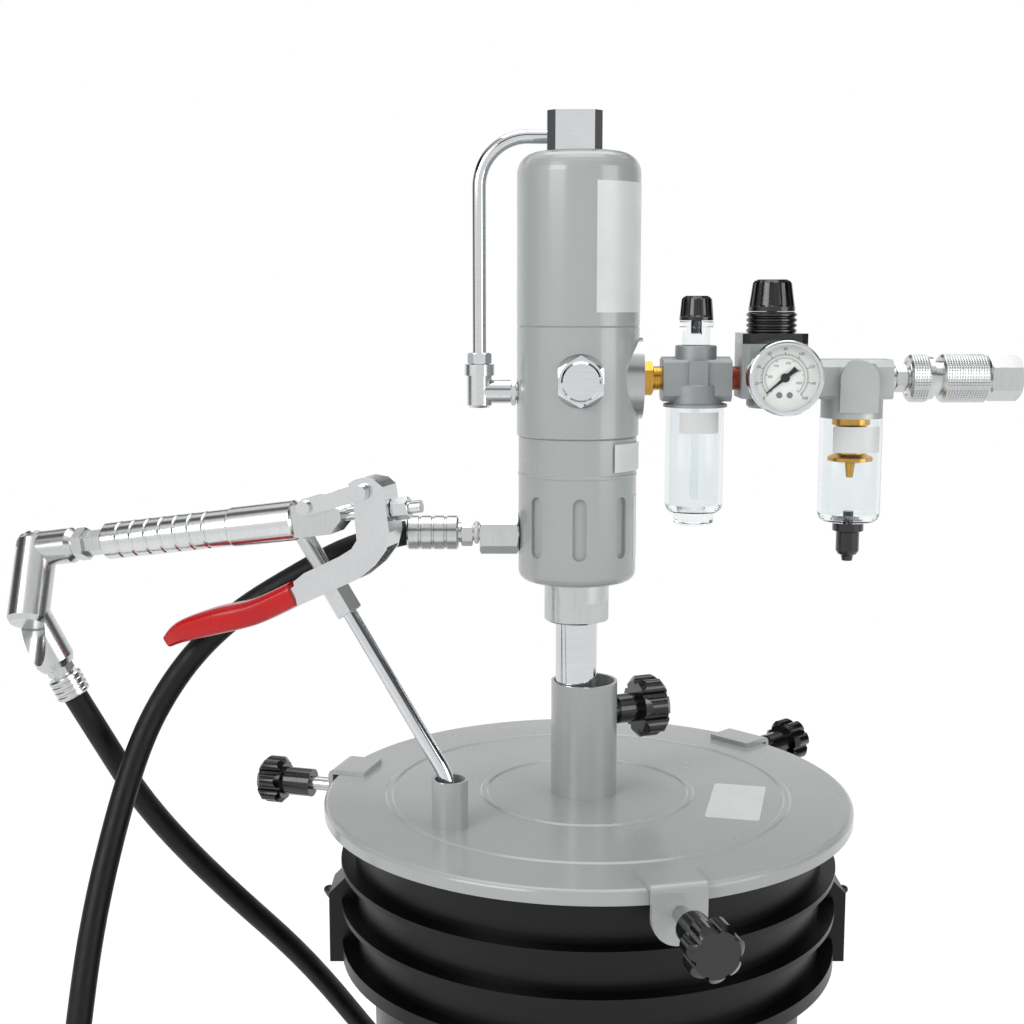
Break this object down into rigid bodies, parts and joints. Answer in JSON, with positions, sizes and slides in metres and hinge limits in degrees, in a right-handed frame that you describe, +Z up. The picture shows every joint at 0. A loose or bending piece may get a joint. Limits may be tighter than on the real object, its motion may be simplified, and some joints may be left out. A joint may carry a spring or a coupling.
{
  "type": "pneumatic grease pump",
  "caption": "Air-operated grease pump on a covered pail, with filter, regulator and lubricator, a hose and a lever grease gun.",
  "frame": {"origin": "centre of the pail's foot, on the floor", "axes": "+Z up, +X along the air line to its inlet, +Y to the back"},
  "size_m": [0.5908, 0.5022, 0.7699],
  "materials": {
    "grey_paint": "gloss",
    "chrome": "polished",
    "steel": "satin",
    "zinc": "satin",
    "cast_grey": "satin",
    "brass": "satin",
    "copper_brown": "satin",
    "clear": "clear",
    "glass": "clear",
    "black_plastic": "gloss",
    "pail_black": "satin",
    "rubber": "matte",
    "red_vinyl": "gloss",
    "dial_white": "matte",
    "wire": "satin",
    "needle_black": "matte"
  },
  "bodies": {
    "pump": {"pail": "pail_black", "cover": "grey_paint", "collar_sleeve": "grey_paint", "gun_holder": "grey_paint", "clamp_brackets": "grey_paint", "motor_cylinder": "grey_paint", "valve_housing": "grey_paint", "lower_housing": "grey_paint", "top_fitting": "chrome", "air_tube": "chrome", "tube_nut": "chrome", "tube_elbow": "steel", "front_plug": "chrome", "tube_adaptor": "zinc", "suction_tube": "chrome", "foot_valve": "zinc", "outlet_adaptor": "zinc", "hose_ferrule": "zinc", "hose": "rubber", "gun_ferrule": "zinc", "swivel_barrel_a": "zinc", "swivel_barrel_b": "zinc", "swivel_barrel_c": "zinc", "gun_inlet_nut": "zinc", "gun_handle": "steel", "gun_head": "zinc", "gun_coupler": "steel", "gun_pipe": "chrome", "inlet_nipple": "brass", "lubricator_body": "cast_grey", "lubricator_bowl": "clear", "siphon_tube": "clear", "sight_dome": "clear", "link_nipples": "copper_brown", "regulator_body": "cast_grey", "regulator_bonnet": "black_plastic", "gauge_case": "chrome", "gauge_dial": "dial_white", "gauge_lens": "glass", "filter_body": "cast_grey", "filter_bowl": "clear", "filter_element": "brass", "plug_nipple": "zinc", "coupler_body": "zinc"},
    "bail": {"pail_bail": "wire"},
    "clamp_front": {"clamp_knob_front": "black_plastic"},
    "clamp_right": {"clamp_knob_right": "black_plastic"},
    "clamp_left": {"clamp_knob_left": "black_plastic"},
    "collar_screw": {"collar_knob": "black_plastic"},
    "piston": {"air_piston": "zinc", "piston_rod": "chrome"},
    "link": {"gun_links": "steel"},
    "lever": {"gun_lever": "steel", "lever_grip": "red_vinyl"},
    "plunger": {"gun_plunger": "steel"},
    "sleeve_ring": {"coupler_sleeve": "zinc"},
    "regulator_cap": {"regulator_knob": "black_plastic"},
    "drip_knob": {"lubricator_knob": "black_plastic"},
    "needle": {"gauge_needle": "needle_black"},
    "drain": {"drain_stem": "black_plastic"}
  },
  "joints": [
    {"name": "bail_swing", "type": "hinge", "parent": "pump", "child": "bail", "pos_m": [0, 0, 0.3095], "axis": [1, 0, 0], "range_deg": [0, 45]},
    {"name": "clamp_front_turn", "type": "hinge", "parent": "pump", "child": "clamp_front", "pos_m": [0.04113, -0.16495, 0.36], "axis": [0.2419, -0.9703, 0], "range_deg": [0, 1080]},
    {"name": "clamp_right_turn", "type": "hinge", "parent": "pump", "child": "clamp_right", "pos_m": [0.12229, 0.11809, 0.36], "axis": [0.7193, 0.6947, 0], "range_deg": [0, 1080]},
    {"name": "clamp_left_turn", "type": "hinge", "parent": "pump", "child": "clamp_left", "pos_m": [-0.16342, 0.04686, 0.36], "axis": [-0.9613, 0.2756, 0], "range_deg": [0, 1080]},
    {"name": "collar_screw_turn", "type": "hinge", "parent": "pump", "child": "collar_screw", "pos_m": [0.01564, 0.00706, 0.42], "axis": [0.9285, 0.3714, 0], "range_deg": [0, 1080]},
    {"name": "piston_stroke", "type": "slide", "parent": "pump", "child": "piston", "axis": [0, 0, 1], "range_m": [0, 0.07]},
    {"name": "link_swing", "type": "hinge", "parent": "pump", "child": "link", "pos_m": [-0.15652, -0.03861, 0.5508], "axis": [-0.2924, -0.9563, 0], "range_deg": [0, 4.7]},
    {"name": "lever_pull", "type": "hinge", "parent": "link", "child": "lever", "pos_m": [-0.12444, -0.04841, 0.56054], "axis": [0.2924, 0.9563, 0], "range_deg": [0, 18.4]},
    {"name": "plunger_slide", "type": "slide", "parent": "pump", "child": "plunger", "axis": [-0.9463, 0.2893, -0.1444], "range_m": [0, 0.0022]},
    {"name": "sleeve_pull", "type": "slide", "parent": "pump", "child": "sleeve_ring", "axis": [1, 0, 0], "range_m": [0, 0.0035], "stiffness_N_per_m": 600, "springref_m": -0.002},
    {"name": "regulator_turn", "type": "hinge", "parent": "pump", "child": "regulator_cap", "pos_m": [0.10445, -0.002, 0.66], "axis": [0, 0, 1], "range_deg": [0, 1440]},
    {"name": "drip_turn", "type": "hinge", "parent": "pump", "child": "drip_knob", "pos_m": [0.06115, -0.002, 0.655], "axis": [0, 0, 1], "range_deg": [0, 720]},
    {"name": "needle_sweep", "type": "hinge", "parent": "pump", "child": "needle", "pos_m": [0.10645, -0.035, 0.622], "axis": [0, 1, 0], "range_deg": [0, 270], "stiffness_Nm_per_rad": 0.0005, "springref_deg": -20.05},
    {"name": "drain_turn", "type": "hinge", "parent": "pump", "child": "drain", "pos_m": [0.1522, -0.002, 0.53], "axis": [0, 0, 1], "range_deg": [0, 360]}
  ],
  "couplings": [
    {"joint": "link_swing", "follows": "lever_pull", "ratio": 0.2391},
    {"joint": "plunger_slide", "follows": "lever_pull", "m_per_rad": 0.00654}
  ]
}
